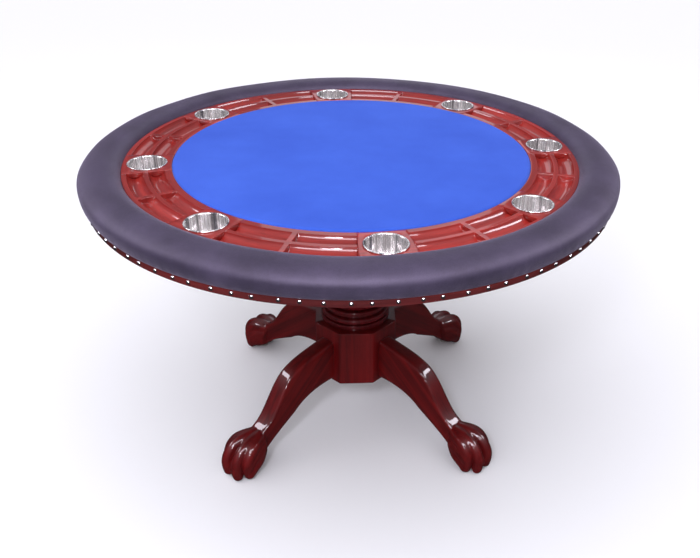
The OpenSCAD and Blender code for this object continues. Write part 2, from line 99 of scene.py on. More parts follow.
cup_middles = [middle_of(f"cup_{i + 1}") for i in range(SEATS)]
CUP_CIRCLE = float(np.mean([math.hypot(m[0], m[1]) for m in cup_middles]))
TOP_TURN = math.atan2(cup_middles[0][1], cup_middles[0][0])
RING_IN = 2 * CUP_CIRCLE - RING_OUT
print(f"ring {RING_IN:.4f} to {RING_OUT:.4f} m, cups on {CUP_CIRCLE:.4f} m")
print(f"the top is turned by {math.degrees(TOP_TURN):.2f} degrees")

# %% [markdown]
# The camera stands at eye height in front of the table and looks down at the felt. It is held
# a little askew, and its view is framed off the lens's axis, which is the shift. The camera
# is made first, because everything else is judged through it.

# %% Camera
EYE_AZIMUTH = math.radians(-90.695)
EYE_DISTANCE = 1.8733
EYE_HEIGHT = 1.4534
EYE_PITCH = math.radians(31.404)
EYE_YAW = math.radians(-4.096)
EYE_ROLL = math.radians(1.535)
LENS_MM = 41.67
SENSOR_MM = 36
EYE_SHIFT = (-0.0783, 0.0394)

camera_data = bpy.data.cameras.new("camera")
camera_data.lens = LENS_MM
camera_data.sensor_width = SENSOR_MM
camera_data.shift_x, camera_data.shift_y = EYE_SHIFT
camera = bpy.data.objects.new("camera", camera_data)
bpy.context.scene.collection.objects.link(camera)
camera.location = (
    EYE_DISTANCE * math.cos(EYE_AZIMUTH),
    EYE_DISTANCE * math.sin(EYE_AZIMUTH),
    EYE_HEIGHT,
)
look = Euler((math.pi / 2 - EYE_PITCH, 0, EYE_AZIMUTH + math.pi / 2 + EYE_YAW)).to_matrix()
camera.rotation_euler = (look @ Matrix.Rotation(EYE_ROLL, 3, "Z")).to_euler()
bpy.context.scene.camera = camera
print("camera at", tuple(round(c, 3) for c in camera.location))

# %% [markdown]
# Every new piece is a grid of points that a formula gives as one array. A grid is turned
# into quads between neighbouring points. Its seams and poles hold doubled points, so they
# are merged at the end, and the faces of the closed shell are then turned outwards.
# A piece of wood also stores where each point lies in its own plank, with X along the grain,
# so that the figure of the wood follows the piece.

# %% Grids of points to meshes
def quads_of(rows, cols, first=0):
    """Corner numbers of the quads of a grid: each joins a point to its next row and column."""
    index = first + np.arange(rows * cols).reshape(rows, cols)
    corners = [index[:-1, :-1], index[1:, :-1], index[1:, 1:], index[:-1, 1:]]
    return np.stack(corners, axis=-1).reshape(-1, 4)


def mesh_from(name, points, quads, grain=None):
    """Puts points and quads into a mesh, with a grain vector at each point where given."""
    mesh = bpy.data.meshes.new(name)
    mesh.vertices.add(len(points))
    mesh.vertices.foreach_set("co", np.ascontiguousarray(points, dtype=np.float32).ravel())
    mesh.loops.add(quads.size)
    mesh.loops.foreach_set("vertex_index", quads.ravel().astype(np.int32))
    mesh.polygons.add(len(quads))
    mesh.polygons.foreach_set("loop_start", np.arange(0, quads.size, 4, dtype=np.int32))
    mesh.update(calc_edges=True)
    if grain is not None:
        layer = mesh.attributes.new("grain", "FLOAT_VECTOR", "POINT")
        layer.data.foreach_set("vector", grain.astype(np.float32).ravel())
    return mesh


def close_shell(mesh, merge=2e-6):
    """Merges doubled points, drops the faces that this empties and turns the rest outwards."""
    shell = bmesh.new()
    shell.from_mesh(mesh)
    bmesh.ops.remove_doubles(shell, verts=shell.verts, dist=merge)
    bmesh.ops.dissolve_degenerate(shell, edges=shell.edges, dist=merge)
    bmesh.ops.recalc_face_normals(shell, faces=shell.faces)
    shell.to_mesh(mesh)
    shell.free()
    mesh.shade_smooth()
    return mesh


def piece_from(mesh, material, body="table", stands_for=()):
    """A finished object: it rides on its body and stands for the CAD nodes named."""
    piece = bpy.data.objects.new(mesh.name, mesh)
    bpy.context.scene.collection.objects.link(piece)
    mesh.materials.append(material)
    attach(piece, body)
    if stands_for:
        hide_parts(*stands_for)
    return piece


def grids_to_mesh(name, grids, grains=None):
    """One closed mesh from several grids that share their borders."""
    starts = np.cumsum([0] + [grid.shape[0] * grid.shape[1] for grid in grids])
    quads = [quads_of(*grid.shape[:2], first) for grid, first in zip(grids, starts)]
    points = np.concatenate([grid.reshape(-1, 3) for grid in grids])
    grain = np.concatenate([g.reshape(-1, 3) for g in grains]) if grains else None
    return close_shell(mesh_from(name, points, np.concatenate(quads), grain))


def round_axis(radius, angle, height):
    """Points at a radius, an angle and a height about the column's axis."""
    flat = radius * np.cos(angle), radius * np.sin(angle)
    return np.stack(np.broadcast_arrays(*flat, height), axis=-1)


def swung(points, angle):
    """The same points, turned about the column's axis by one angle."""
    c, s = math.cos(angle), math.sin(angle)
    x, y, z = points[..., 0], points[..., 1], points[..., 2]
    return np.stack([x * c - y * s, x * s + y * c, z], axis=-1)


def turned(profile, angles):
    """Surface of revolution: each profile point (radius, height) is carried round by each angle."""
    return round_axis(profile[:, :1], angles, profile[:, 1:])


def full_turn(count):
    """Angles of one full turn, the last equal to the first."""
    return np.linspace(0, 2 * math.pi, count + 1)


def ellipse(cx, cy, a, b, start, end, count):
    """Points along an ellipse's arc between two angles in degrees."""
    t = np.radians(np.linspace(start, end, count))
    return np.stack([cx + a * np.cos(t), cy + b * np.sin(t)], axis=1)


def straight(p, q, count):
    """Points from p towards q, without the last."""
    t = np.linspace(0, 1, count, endpoint=False)[:, None]
    return np.array(p) * (1 - t) + np.array(q) * t


def bezier(p0, p1, p2, p3, count):
    """Points along a cubic Bezier curve, its last point left out."""
    t = np.linspace(0, 1, count, endpoint=False)[:, None]
    u = 1 - t
    p0, p1, p2, p3 = (np.array(p, dtype=float) for p in (p0, p1, p2, p3))
    return p0 * u**3 + 3 * p1 * t * u * u + 3 * p2 * t * t * u + p3 * t**3


def smooth_steps(x, low, high):
    """Rises from 0 to 1 between low and high, with a level start and end."""
    t = np.clip((x - low) / (high - low), 0, 1)
    return t * t * (3 - 2 * t)


def waves(*fields, seed, count=6, sizes=(1.0, 2.0)):
    """A gentle random field between about -1 and 1: a sum of sines along random directions."""
    rng = np.random.default_rng(seed)
    total = 0
    for _ in range(count):
        push = rng.normal(size=len(fields))
        push /= np.linalg.norm(push)
        push *= rng.uniform(*sizes)
        total = total + np.sin(sum(p * f for p, f in zip(push, fields)) + rng.uniform(0, 6.28))
    return total / math.sqrt(count / 2) / 1.5

# %% [markdown]
# ## Finishes
# Each finish is a small tree of nodes. A helper adds one node, sets it and wires it, so that
# a finish reads as a short recipe. Colours are given as sRGB numbers, as on a paint chart.

# %% Helpers for finishes
def srgb(red, green, blue):
    """Linear colour of an sRGB colour given as 0 to 255."""
    c = np.array([red, green, blue]) / 255
    linear = np.where(c <= 0.04045, c / 12.92, ((c + 0.055) / 1.055) ** 2.4)
    return (*linear.tolist(), 1.0)


def add_node(tree, kind, sockets=None, **settings):
    """Adds a shader node. A socket takes a value, or is wired to another node's output."""
    made = tree.nodes.new("ShaderNode" + kind)
    for name, value in settings.items():
        setattr(made, name, value)
    for name, value in (sockets or {}).items():
        if isinstance(value, bpy.types.NodeSocket):
            tree.links.new(value, made.inputs[name])
        else:
            made.inputs[name].default_value = value
    return made


def new_finish(name, **sockets):
    """A material with one Principled shader whose constant sockets are set directly."""
    material = bpy.data.materials.new(name)
    material.use_nodes = True
    shader = material.node_tree.nodes["Principled BSDF"]
    for socket, value in sockets.items():
        shader.inputs[socket.replace("_", " ").title().replace("Ior", "IOR")].default_value = value
    return material, material.node_tree, shader


def ramp(tree, factor, *stops):
    """A colour ramp with the stops given as (place, colour)."""
    made = add_node(tree, "ValToRGB", {"Fac": factor})
    elements = made.color_ramp.elements
    while len(elements) < len(stops):
        elements.new(0.5)
    for element, (place, colour) in zip(elements, stops):
        element.position = place
        element.color = colour
    return made.outputs["Color"]


def grey(value):
    """A grey stop of a ramp."""
    return (value, value, value, 1)


def noise(tree, place, scale, **sockets):
    """Noise over a place vector, with so many bumps to the metre."""
    return add_node(tree, "TexNoise", {"Vector": place, "Scale": scale, **sockets}).outputs["Fac"]


def stretched_noise(tree, place, scale, **sockets):
    """Noise whose pattern is squeezed by scale along each axis of the place vector."""
    mapping = add_node(tree, "Mapping", {"Vector": place, "Scale": scale})
    return noise(tree, mapping.outputs["Vector"], 1.0, **sockets)


def darkened(tree, factor, colour, mask):
    """A colour multiplied by a mask, as strongly as the factor says."""
    mix = add_node(tree, "Mix", data_type="RGBA", blend_type="MULTIPLY")
    for number, value in ((0, factor), (6, colour), (7, mask)):
        if isinstance(value, bpy.types.NodeSocket):
            tree.links.new(value, mix.inputs[number])
        else:
            mix.inputs[number].default_value = value
    return mix.outputs[2]


def bumped(tree, shader, height, strength, distance, under=None, to="Normal"):
    """Wires a height to one of the shader's normals, over another bump where one is given."""
    sockets = {"Height": height, "Strength": strength, "Distance": distance}
    if under is not None:
        sockets["Normal"] = under
    normal = add_node(tree, "Bump", sockets).outputs["Normal"]
    tree.links.new(normal, shader.inputs[to])
    return normal


def place_vector(tree, source="object"):
    """The vector that a pattern follows: the whole object, or the piece's own grain."""
    if source == "grain":
        return add_node(tree, "Attribute", attribute_name="grain").outputs["Vector"]
    return add_node(tree, "TexCoord").outputs["Object"]


# %% [markdown]
# The wood is a stained hardwood under a thick clear lacquer. The stain hides most of the
# figure, so a long soft streak and short dark pores are mixed at low contrast. The lacquer is
# the shader's coat: sharp reflections lie over the softer ones of the wood. Orange peel, the
# faint unevenness of sprayed lacquer, is a very low bump on the coat.

# %% Lacquered wood
def lacquered_wood(name, dark, light, source="grain", streak=(2.2, 46, 46), lacquer=0.8):
    """Stained wood with the grain along X of its place vector, under clear lacquer."""
    material, tree, shader = new_finish(
        name, roughness=0.45, specular_ior_level=0.15,
        coat_weight=lacquer, coat_roughness=0.05, coat_ior=1.5,
    )
    place = place_vector(tree, source)
    figure = stretched_noise(tree, place, streak, Detail=5.0, Roughness=0.62, Distortion=0.6)
    pores = stretched_noise(tree, place, (38, 950, 950), Detail=2.0, Roughness=0.5)
    cloud = stretched_noise(tree, place, (5, 9, 9), Detail=2.0)
    peel = stretched_noise(tree, place, (170, 170, 170), Detail=1.0)
    stain = ramp(tree, figure, (0.33, dark), (0.66, light))
    pore_mask = ramp(tree, pores, (0.30, grey(0.62)), (0.46, grey(1.0)))
    cloud_mask = ramp(tree, cloud, (0.3, grey(0.80)), (0.7, grey(1.06)))
    stain = darkened(tree, 0.8, stain, pore_mask)
    stain = darkened(tree, 1.0, stain, cloud_mask)
    tree.links.new(stain, shader.inputs["Base Color"])
    bumped(tree, shader, pores, 0.10, 0.0004)
    bumped(tree, shader, peel, 0.02, 0.0008, to="Coat Normal")
    return material


cherry = lacquered_wood("cherry_lacquer", srgb(130, 25, 21), srgb(178, 46, 38), lacquer=0.9)
mahogany = lacquered_wood(
    "mahogany_lacquer", srgb(78, 7, 9), srgb(112, 14, 15), streak=(1.6, 60, 60), lacquer=0.9
)
mahogany_turned = lacquered_wood(
    "mahogany_turned", srgb(66, 7, 11), srgb(106, 14, 20), source="object", streak=(90, 90, 3)
)
# The band is the same cherry as the ring, painted darker: painted shade for the shade under the rail's
# overhang.
band_cherry_painted_shade = lacquered_wood("band_lacquer_painted_shade", srgb(78, 22, 24), srgb(108, 34, 34))
print("wood finishes:", cherry.name, mahogany.name, mahogany_turned.name, band_cherry_painted_shade.name)

# %% [markdown]
# The rail's cover is a soft vinyl pressed with a leather grain. The grain is a net of fine
# creases between rounded cells about one and a half millimetres across, with a larger, softer
# unevenness under it. The sheen of the vinyl is broad, so its roughness is middling.

# %% Vinyl
def leather_vinyl():
    """Near-black vinyl with a violet cast: cells with creases between them, over a larger, softer swell."""
    material, tree, shader = new_finish(
        "rail_vinyl", roughness=0.5, specular_ior_level=0.62, specular_tint=srgb(238, 224, 255),
        sheen_weight=0.3, sheen_roughness=0.4, sheen_tint=srgb(225, 212, 240),
    )
    place = place_vector(tree)
    wander = add_node(tree, "TexNoise", {"Vector": place, "Scale": 260.0, "Detail": 2.0})
    small = {0: wander.outputs["Color"], 1: (0.0016, 0.0016, 0.0016)}
    push = add_node(tree, "VectorMath", small, operation="MULTIPLY").outputs["Vector"]
    bent = add_node(tree, "VectorMath", {0: place, 1: push}, operation="ADD").outputs["Vector"]
    cells = add_node(tree, "TexVoronoi", {"Vector": bent, "Scale": 620.0}, feature="DISTANCE_TO_EDGE")
    crease_depth_and_shade = ramp(tree, cells.outputs["Distance"], (0.0, grey(0.0)), (0.16, grey(1.0)))
    swell = noise(tree, place, 95.0, Detail=3.0)
    tone = noise(tree, place, 9.0, Detail=6.0, Roughness=0.7)
    base = ramp(tree, tone, (0.32, srgb(48, 41, 60)), (0.68, srgb(75, 66, 90)))
    # The creases are also painted darker in the colour: painted shade in the fine hollows of the grain.
    tree.links.new(darkened(tree, 0.5, base, crease_depth_and_shade), shader.inputs["Base Color"])
    low = bumped(tree, shader, swell, 0.25, 0.0012)
    bumped(tree, shader, crease_depth_and_shade, 0.35, 0.0003, under=low)
    return material


vinyl = leather_vinyl()
print("vinyl finish:", vinyl.name)

# %% [markdown]
# The playing cloth is a dense napped felt. Its fibres catch light at a grazing angle, which
# is the shader's sheen, and its surface is never quite even: fine fuzz as a bump, and faint
# clouds where the nap lies another way.

# %% Felt
def blue_felt():
    """Royal blue felt: matte, with sheen, fuzz and faint clouds of nap."""
    material, tree, shader = new_finish(
        "blue_felt", roughness=0.95, specular_ior_level=0.15, sheen_weight=0.35, sheen_roughness=0.45,
        sheen_tint=srgb(150, 170, 255),
    )
    place = place_vector(tree)
    fuzz = noise(tree, place, 1500.0, Detail=3.0, Roughness=0.7)
    fibre = noise(tree, place, 420.0, Detail=2.0, Distortion=1.5)
    nap = noise(tree, place, 5.0, Detail=4.0, Roughness=0.6)
    tone = ramp(tree, nap, (0.3, srgb(53, 91, 204)), (0.7, srgb(64, 104, 219)))
    speck = ramp(tree, fuzz, (0.3, grey(0.82)), (0.7, grey(1.1)))
    tree.links.new(darkened(tree, 0.8, tone, speck), shader.inputs["Base Color"])
    low = bumped(tree, shader, fibre, 0.35, 0.0006)
    bumped(tree, shader, fuzz, 0.45, 0.0005, under=low)
    return material


felt = blue_felt()
print("felt finish:", felt.name)

# %% [markdown]
# The cups are drawn from stainless steel sheet and polished. The drawing leaves fine lines
# that run down the wall, and bright and dark bars of painted reflection run down it too, as a
# polished cylinder mirrors the room. So the colour, the roughness and a very low bump change round
# the cup and hardly along it. The pattern reads a direction and a height that each cup stores at
# its points. The nails and the hidden fixings are plainer metals.

# %% Metals
def polished_steel():
    """Drawn stainless steel with fine drawing lines, and bright and dark bars of painted reflection down the
    wall.
    """
    material, tree, shader = new_finish("cup_steel", metallic=0.8, roughness=0.25)
    place = place_vector(tree, "grain")
    reflection_bar_pattern = stretched_noise(tree, place, (2.3, 2.3, 0.02), Detail=2.5, Roughness=0.5)
    fine = stretched_noise(tree, place, (14, 14, 0.1), Detail=1.0)
    # The dark, middle and bright colours are painted reflection: bars of light and dark as a polished
    # cylinder mirrors its surroundings.
    dark, middle, bright = (0.20, 0.19, 0.21, 1), (0.66, 0.62, 0.61, 1), (1.0, 0.99, 0.98, 1)
    tone = ramp(tree, reflection_bar_pattern, (0.36, dark), (0.42, middle), (0.46, bright), (0.53, middle), (0.58, bright))
    lines = ramp(tree, fine, (0.38, grey(0.8)), (0.5, grey(1.0)))
    tree.links.new(darkened(tree, 1.0, tone, lines), shader.inputs["Base Color"])
    rough = ramp(tree, fine, (0.3, grey(0.12)), (0.7, grey(0.3)))
    tree.links.new(rough, shader.inputs["Roughness"])
    bumped(tree, shader, reflection_bar_pattern, 0.05, 0.001)
    return material


def bright_metal(name, colour, roughness):
    """A plain metal with faint handling marks."""
    material, tree, shader = new_finish(name, base_color=colour, metallic=1.0, roughness=roughness)
    marks = noise(tree, place_vector(tree), 700.0, Detail=3.0)
    rough = ramp(tree, marks, (0.35, grey(roughness * 0.7)), (0.7, grey(roughness * 1.6)))
    tree.links.new(rough, shader.inputs["Roughness"])
    return material


steel = polished_steel()
chrome = bright_metal("nail_chrome", (0.86, 0.85, 0.86, 1), 0.09)
zinc = bright_metal("zinc_fixings", (0.62, 0.62, 0.64, 1), 0.36)
print("metal finishes:", steel.name, chrome.name, zinc.name)

# %% [markdown]
# Under the top are plain boards. Their edges and undersides show only from below: a pressed
# board with a fine speckle, wiped with dark stain. The foam, the dowels and the glides are
# almost hidden, but each still has its own texture.

# %% Boards, foam and plastic
def speckled(name, dark, light, size, roughness, bump):
    """A matte material with a fine two-tone speckle of a given size in metres."""
    material, tree, shader = new_finish(name, roughness=roughness, specular_ior_level=0.3)
    place = place_vector(tree)
    speckle = stretched_noise(tree, place, (1 / size,) * 3, Detail=4.0, Roughness=0.65)
    cloud = noise(tree, place, 6.0, Detail=2.0)
    tone = ramp(tree, speckle, (0.3, dark), (0.7, light))
    shade = ramp(tree, cloud, (0.3, grey(0.82)), (0.7, grey(1.05)))
    tree.links.new(darkened(tree, 1.0, tone, shade), shader.inputs["Base Color"])
    bumped(tree, shader, speckle, 0.3, bump)
    return material


stained_board = speckled("stained_board", srgb(50, 24, 18), srgb(74, 36, 26), 0.0022, 0.62, 0.0003)
pale_board = speckled("pale_board", srgb(150, 118, 80), srgb(184, 150, 108), 0.0018, 0.75, 0.0003)
foam = speckled("rail_foam", srgb(196, 176, 110), srgb(224, 208, 150), 0.0012, 0.95, 0.0006)
beech = speckled("dowel_beech", srgb(170, 126, 82), srgb(206, 164, 118), 0.0015, 0.6, 0.0002)
nylon = speckled("glide_nylon", srgb(196, 194, 188), srgb(214, 212, 206), 0.0008, 0.5, 0.0001)
print("plain finishes:", [m.name for m in (stained_board, pale_board, foam, beech, nylon)])


def finish_node(material, *nodes):
    """Gives CAD nodes a better material and leaves their meshes alone."""
    for node in nodes:
        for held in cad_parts[node].material_slots:
            held.material = material


# %% [markdown]
# ## The padded rail
# The rail is a wooden ring under foam, pulled into shape by a vinyl cover that is stapled
# underneath. Its half section is three quarter ellipses: a steep inner shoulder, a broad
# outer one and a short return under the widest line. The section is carried round the table.
# Foam never settles evenly, so the surface swells and sinks by a fraction of a millimetre
# over a hand's width, and the pull of the staples puckers the lower edge.

# %% Rail section
SEAM = 0.3 * MM
RAIL_IN = RING_OUT + SEAM
CREST_R = RAIL_IN + 37 * MM
INNER_DROP = 4 * MM
WIDE_DROP = 10 * MM
RISE = RAIL_TOP - RING_TOP
LOW_A, LOW_B = 31 * MM, 39.5 * MM


def rail_section():
    """Closed half section of the rail (radius, height), from the inner foot over the crest."""
    low_end = -math.degrees(math.asin((RING_TOP - WIDE_DROP - DECK_TOP) / LOW_B))
    shoulder = RING_TOP - INNER_DROP
    widest = RING_TOP - WIDE_DROP
    inner = ellipse(CREST_R, shoulder, CREST_R - RAIL_IN, RISE + INNER_DROP, 180, 90, 26)
    outer = ellipse(CREST_R, widest, RAIL_R - CREST_R, RISE + WIDE_DROP, 90, 0, 36)[1:]
    under = ellipse(RAIL_R - LOW_A, widest, LOW_A, LOW_B, 0, low_end, 18)[1:]
    wall = straight((RAIL_IN, DECK_TOP), (RAIL_IN, shoulder), 5)
    foot = straight((under[-1][0], DECK_TOP), (RAIL_IN, DECK_TOP), 8)[1:]
    return np.concatenate([wall, inner, outer, under, foot, wall[:1]])


def section_normals(section):
    """Outward unit normals of a section's points, from the points before and after each."""
    ahead = np.roll(section[:-1], -1, axis=0) - np.roll(section[:-1], 1, axis=0)
    normal = np.stack([-ahead[:, 1], ahead[:, 0]], axis=1)
    normal /= np.linalg.norm(normal, axis=1, keepdims=True)
    return np.concatenate([normal, normal[:1]])


def rail_surface(turns):
    """Carries the rail's section round the table, then lifts each point along its normal.

    The lift is a soft swell of about half a millimetre, plus puckers under the widest line:
    a wave round the table whose height fades out 30 mm above the staples.
    """
    section = rail_section()
    normal = section_normals(section)
    around = full_turn(turns)[:, None]
    radius, height = section[None, :, 0], section[None, :, 1]
    padded_zone = smooth_steps(height, RING_TOP - 8 * MM, RING_TOP + 6 * MM)
    outside = smooth_steps(radius, CREST_R, CREST_R + 25 * MM)
    zone = np.maximum(padded_zone, outside * smooth_steps(height, DECK_TOP, DECK_TOP + 12 * MM))
    swell = waves(np.cos(around) * 11, np.sin(around) * 11, height * 55 + radius * 30, seed=4, count=9)
    low = outside * (1 - smooth_steps(height, DECK_TOP + 4 * MM, DECK_TOP + 30 * MM))
    low = low * smooth_steps(height, DECK_TOP - 1 * MM, DECK_TOP + 5 * MM)
    beat = 0.6 + 0.4 * np.sin(around * 23 + 1.3)
    puckers = np.sin(around * 143 + 1.8 * np.sin(around * 11)) * beat
    lift = 0.55 * MM * swell * zone + 0.5 * MM * puckers * low - 0.45 * MM * zone
    return round_axis(radius + normal[:, 0] * lift, around, height + normal[:, 1] * lift)


rail = piece_from(
    grids_to_mesh("rail_padded_cover", [rail_surface(720)]),
    vinyl, stands_for=("rail_cover", "rail_foam"),
)
print("rail:", len(rail.data.polygons), "faces")

# %% [markdown]
# ## The playing panel
# Felt is stretched over foam on a round board and stapled underneath, so its top is flat,
# its edge is a soft roll, and the cloth goes straight down into the gap beside the ring.
# The disc is a turned surface. Near the edge the foam is squeezed thinner.

# %% Felt panel
def felt_section():
    """Half section of the felt from its middle out, round the rolled edge, down and back under."""
    roll_w, roll_h, sink = 11 * MM, 6.2 * MM, 0.7 * MM
    flat = straight((0, FELT_TOP), (FELT_R - roll_w, FELT_TOP), 60)
    flat[:, 1] -= sink * smooth_steps(flat[:, 0], FELT_R - 70 * MM, FELT_R - roll_w)
    roll = ellipse(FELT_R - roll_w, FELT_TOP - sink - roll_h, roll_w, roll_h, 90, 0, 16)
    side = straight(roll[-1], (FELT_R, RING_FOOT), 5)[1:]
    return np.concatenate([flat, roll, side, [(FELT_R, RING_FOOT), (0, RING_FOOT)]])


def felt_surface(turns):
    """Turns the felt's section and adds a swell of a sixth of a millimetre, as stretched cloth has."""
    swell = 0.16 * MM
    points = turned(felt_section(), full_turn(turns))
    x, y, z = points[..., 0], points[..., 1], points[..., 2]
    top = smooth_steps(z, FELT_TOP - 3 * MM, FELT_TOP - 1 * MM)
    points[..., 2] = z + top * (swell * waves(x * 22, y * 22, seed=9, count=8) - swell)
    return points


felt_panel = piece_from(
    grids_to_mesh("playing_felt", [felt_surface(360)]),
    felt, stands_for=("play_felt", "play_foam"),
)
print("felt:", len(felt_panel.data.polygons), "faces")

# %% [markdown]
# ## The chip ring
# Eight trays are routed from solid wood. Each has two grooves with round bottoms, cut either
# side of a thin divider. A tray is a height over radius and angle: the top, less the depth of
# the grooves. The edges are slightly eased, because sharp lacquered edges don't exist. More
# rows stand where a wall is steep. A tray and its underside share their borders, which closes it.

# %% Chip trays
GROOVE_R = 20 * MM
GROOVE_DEPTH = 13 * MM
LIP_W = 16 * MM
RIB_W = 10.5 * MM
DIVIDER_W = 11 * MM
BLOCK_HALF = math.radians(6.5)
EASE = 0.9 * MM
GROOVE_HALF = math.sqrt(GROOVE_R**2 - (GROOVE_R - GROOVE_DEPTH) ** 2)
GROOVE_CENTRES = (RING_IN + LIP_W + GROOVE_HALF, RING_IN + LIP_W + 3 * GROOVE_HALF + RIB_W)
TRAY_HALF = SEAT_TURN / 2 - BLOCK_HALF - math.asin(SEAM / CUP_CIRCLE)


def softly_positive(x, softness):
    """x where it is well above 0 and 0 where it is well below, with a rounded corner between."""
    return 0.5 * (x + np.sqrt(x * x + softness * softness)) - 0.25 * softness * np.exp(-np.abs(x) / softness)


def groove_depth(radius):
    """Depth of the tray below its top at a radius: an arc of a circle about each groove's centre."""
    depth = 0
    for centre in GROOVE_CENTRES:
        off = np.clip(np.abs(radius - centre), 0, GROOVE_R * 0.999)
        arc = np.sqrt(GROOVE_R**2 - off**2) - (GROOVE_R - GROOVE_DEPTH)
        depth = depth + np.maximum(softly_positive(arc, EASE), 0)
    return depth


def close_to(places, reach, count):
    """Samples bunched within reach of each place."""
    spread = np.linspace(-1, 1, count)
    return np.concatenate([p + reach * spread * np.abs(spread) for p in places])


def tray_surface(middle):
    """Top and underside of a tray about its middle angle, as two grids, with their grain."""
    edges = [c + s * GROOVE_HALF for c in GROOVE_CENTRES for s in (-1, 1)]
    radius = np.concatenate([np.linspace(RING_IN, RING_OUT, 64), close_to(edges, 2.4 * MM, 9)])
    radius = np.unique(np.round(np.append(radius, [RING_IN + 0.3 * MM, RING_IN + EASE]), 6))
    turn = np.linspace(-TRAY_HALF, TRAY_HALF, 58)
    wall = DIVIDER_W / 2 / CUP_CIRCLE
    turn = np.append(turn, close_to([-wall, wall], 2.6 * MM / CUP_CIRCLE, 13))
    for gap in (0.15, 0.4, 0.9):
        turn = np.append(turn, [s * (TRAY_HALF - gap * MM / CUP_CIRCLE) for s in (-1, 1)])
    turn = np.unique(np.round(turn, 7))
    radius, turn = np.pad(radius, 1, mode="edge"), np.pad(turn, 1, mode="edge")
    r, a = np.meshgrid(radius, turn, indexing="ij")
    along = np.abs(a) * r - DIVIDER_W / 2
    open_part = smooth_steps(along, -0.2 * MM, 1.7 * MM)
    z = RING_TOP - groove_depth(r) * open_part
    to_end = (TRAY_HALF - np.abs(a)) * CUP_CIRCLE
    to_lip = r - RING_IN
    z = z - 0.5 * MM * (1 - smooth_steps(to_end, 0, EASE))
    z = z - 0.6 * MM * (1 - smooth_steps(to_lip, 0, EASE))
    z[0], z[-1], z[:, 0], z[:, -1] = [RING_FOOT] * 4
    top = round_axis(r, a + middle, z)
    under = top.copy()
    under[..., 2] = RING_FOOT
    grain = np.stack([a * CUP_CIRCLE + middle * 3, r, z], axis=-1)
    return [top, under], [grain, grain]


def make_trays():
    """The eight trays, each between two cup blocks."""
    faces = 0
    for i in range(SEATS):
        grids, grains = tray_surface(TOP_TURN + (i + 0.5) * SEAT_TURN)
        mesh = grids_to_mesh(f"tray_{i + 1}_routed", grids, grains=grains)
        piece_from(mesh, cherry, stands_for=(f"chip_tray_{i + 1}",))
        faces += len(mesh.polygons)
    return faces


print("trays:", make_trays(), "faces")

# %% [markdown]
# A cup block is a flat sector with a round hole. Its grid runs from the hole to the outline
# along straight lines from the cup's middle, so one closed loop of heights, from the hole's
# foot up, across the top and down outside, is carried round the hole.

# %% Cup blocks
HOLE_R = 42.6 * MM


def block_outline(count):
    """Outline of a cup block about the X axis: inner arc, side, outer arc, side, and closed."""
    half = BLOCK_HALF
    outer = np.linspace(-half, half, count)
    inner = np.linspace(half, -half, count)
    side = np.linspace(0, 1, count)[1:-1, None]
    out_arc = RING_OUT * np.stack([np.cos(outer), np.sin(outer)], axis=1)
    in_arc = RING_IN * np.stack([np.cos(inner), np.sin(inner)], axis=1)
    left = out_arc[-1] * (1 - side) + in_arc[0] * side
    right = in_arc[-1] * (1 - side) + out_arc[0] * side
    return np.concatenate([out_arc, left, in_arc, right, out_arc[:1]])


def block_surface(middle):
    """Grid of a cup block: each row is the hole or the outline, eased and set to a height."""
    outline = block_outline(22)
    centre = np.array([CUP_CIRCLE, 0])
    away = outline - centre
    reach = np.linalg.norm(away, axis=1, keepdims=True)
    away = away / reach
    hole = centre + away * HOLE_R
    rows = [(hole, RING_FOOT), (hole, RING_TOP - EASE)]
    rows += [(hole + away * 0.3 * EASE, RING_TOP - 0.3 * EASE), (hole + away * EASE, RING_TOP)]
    rows += [(hole + (outline - hole) * 0.5, RING_TOP)]
    rows += [(outline - away * 0.7 * EASE, RING_TOP)]
    rows += [(outline - away * 0.2 * EASE, RING_TOP - 0.2 * EASE)]
    rows += [(outline, RING_TOP - 0.7 * EASE), (outline, RING_FOOT), (hole, RING_FOOT)]
    flat = np.stack([np.column_stack([xy, np.full(len(xy), z)]) for xy, z in rows])
    grain = np.stack([flat[..., 1] + middle * 5, flat[..., 0], flat[..., 2]], axis=-1)
    return swung(flat, middle), grain


def make_blocks():
    """The eight cup blocks."""
    for i in range(SEATS):
        grid, grain = block_surface(TOP_TURN + i * SEAT_TURN)
        mesh = grids_to_mesh(f"cup_block_{i + 1}_eased", [grid], grains=[grain])
        piece_from(mesh, cherry, stands_for=(f"cup_block_{i + 1}",))
    return SEATS


print("cup blocks:", make_blocks())

# %% [markdown]
# ## The cups
# A cup is spun steel: a flat bottom, a rounded foot, a straight wall and a rim rolled
# outwards, which hangs on the wood. It is a turned surface with an outer and an inner wall.
# Each cup is a body of its own, because it lifts out.

# %% Cups
CUP_R = 42 * MM
CUP_WALL = 1 * MM
CUP_FOOT_R = 7 * MM
RIM_R = 46 * MM
DISH_R = 20 * MM
DISH_H = 0.5 * MM


def cup_section(foot, rim_top):
    """Half section of a cup: along the bottom, up, round the rolled rim, down and back inside."""
    roll = (rim_top - RING_TOP) / 2
    floor_z, inner = foot + CUP_WALL, CUP_FOOT_R - CUP_WALL
    outside = ellipse(CUP_R - CUP_FOOT_R, foot + CUP_FOOT_R, CUP_FOOT_R, CUP_FOOT_R, -90, 0, 9)
    rim = ellipse(RIM_R - roll, RING_TOP + roll, roll, roll, -90, 90, 13)
    mouth = ellipse(CUP_R - CUP_WALL + 2 * roll, rim_top - 2 * roll, 2 * roll, 2 * roll, 90, 180, 9)
    inside = ellipse(CUP_R - CUP_FOOT_R, foot + CUP_FOOT_R, inner, inner, 0, -90, 9)
    wall = straight(mouth[-1], inside[0], 24)
    dish = straight((CUP_R - DISH_R + 2 * MM, floor_z), (CUP_R - DISH_R, floor_z + DISH_H), 3)
    parts = [[(0, foot)], outside, [(CUP_R, RING_TOP - 0.4 * MM)], rim, mouth, wall[1:], inside]
    parts += [dish, [(0, floor_z + DISH_H)]]
    return np.concatenate([np.array(p) for p in parts])


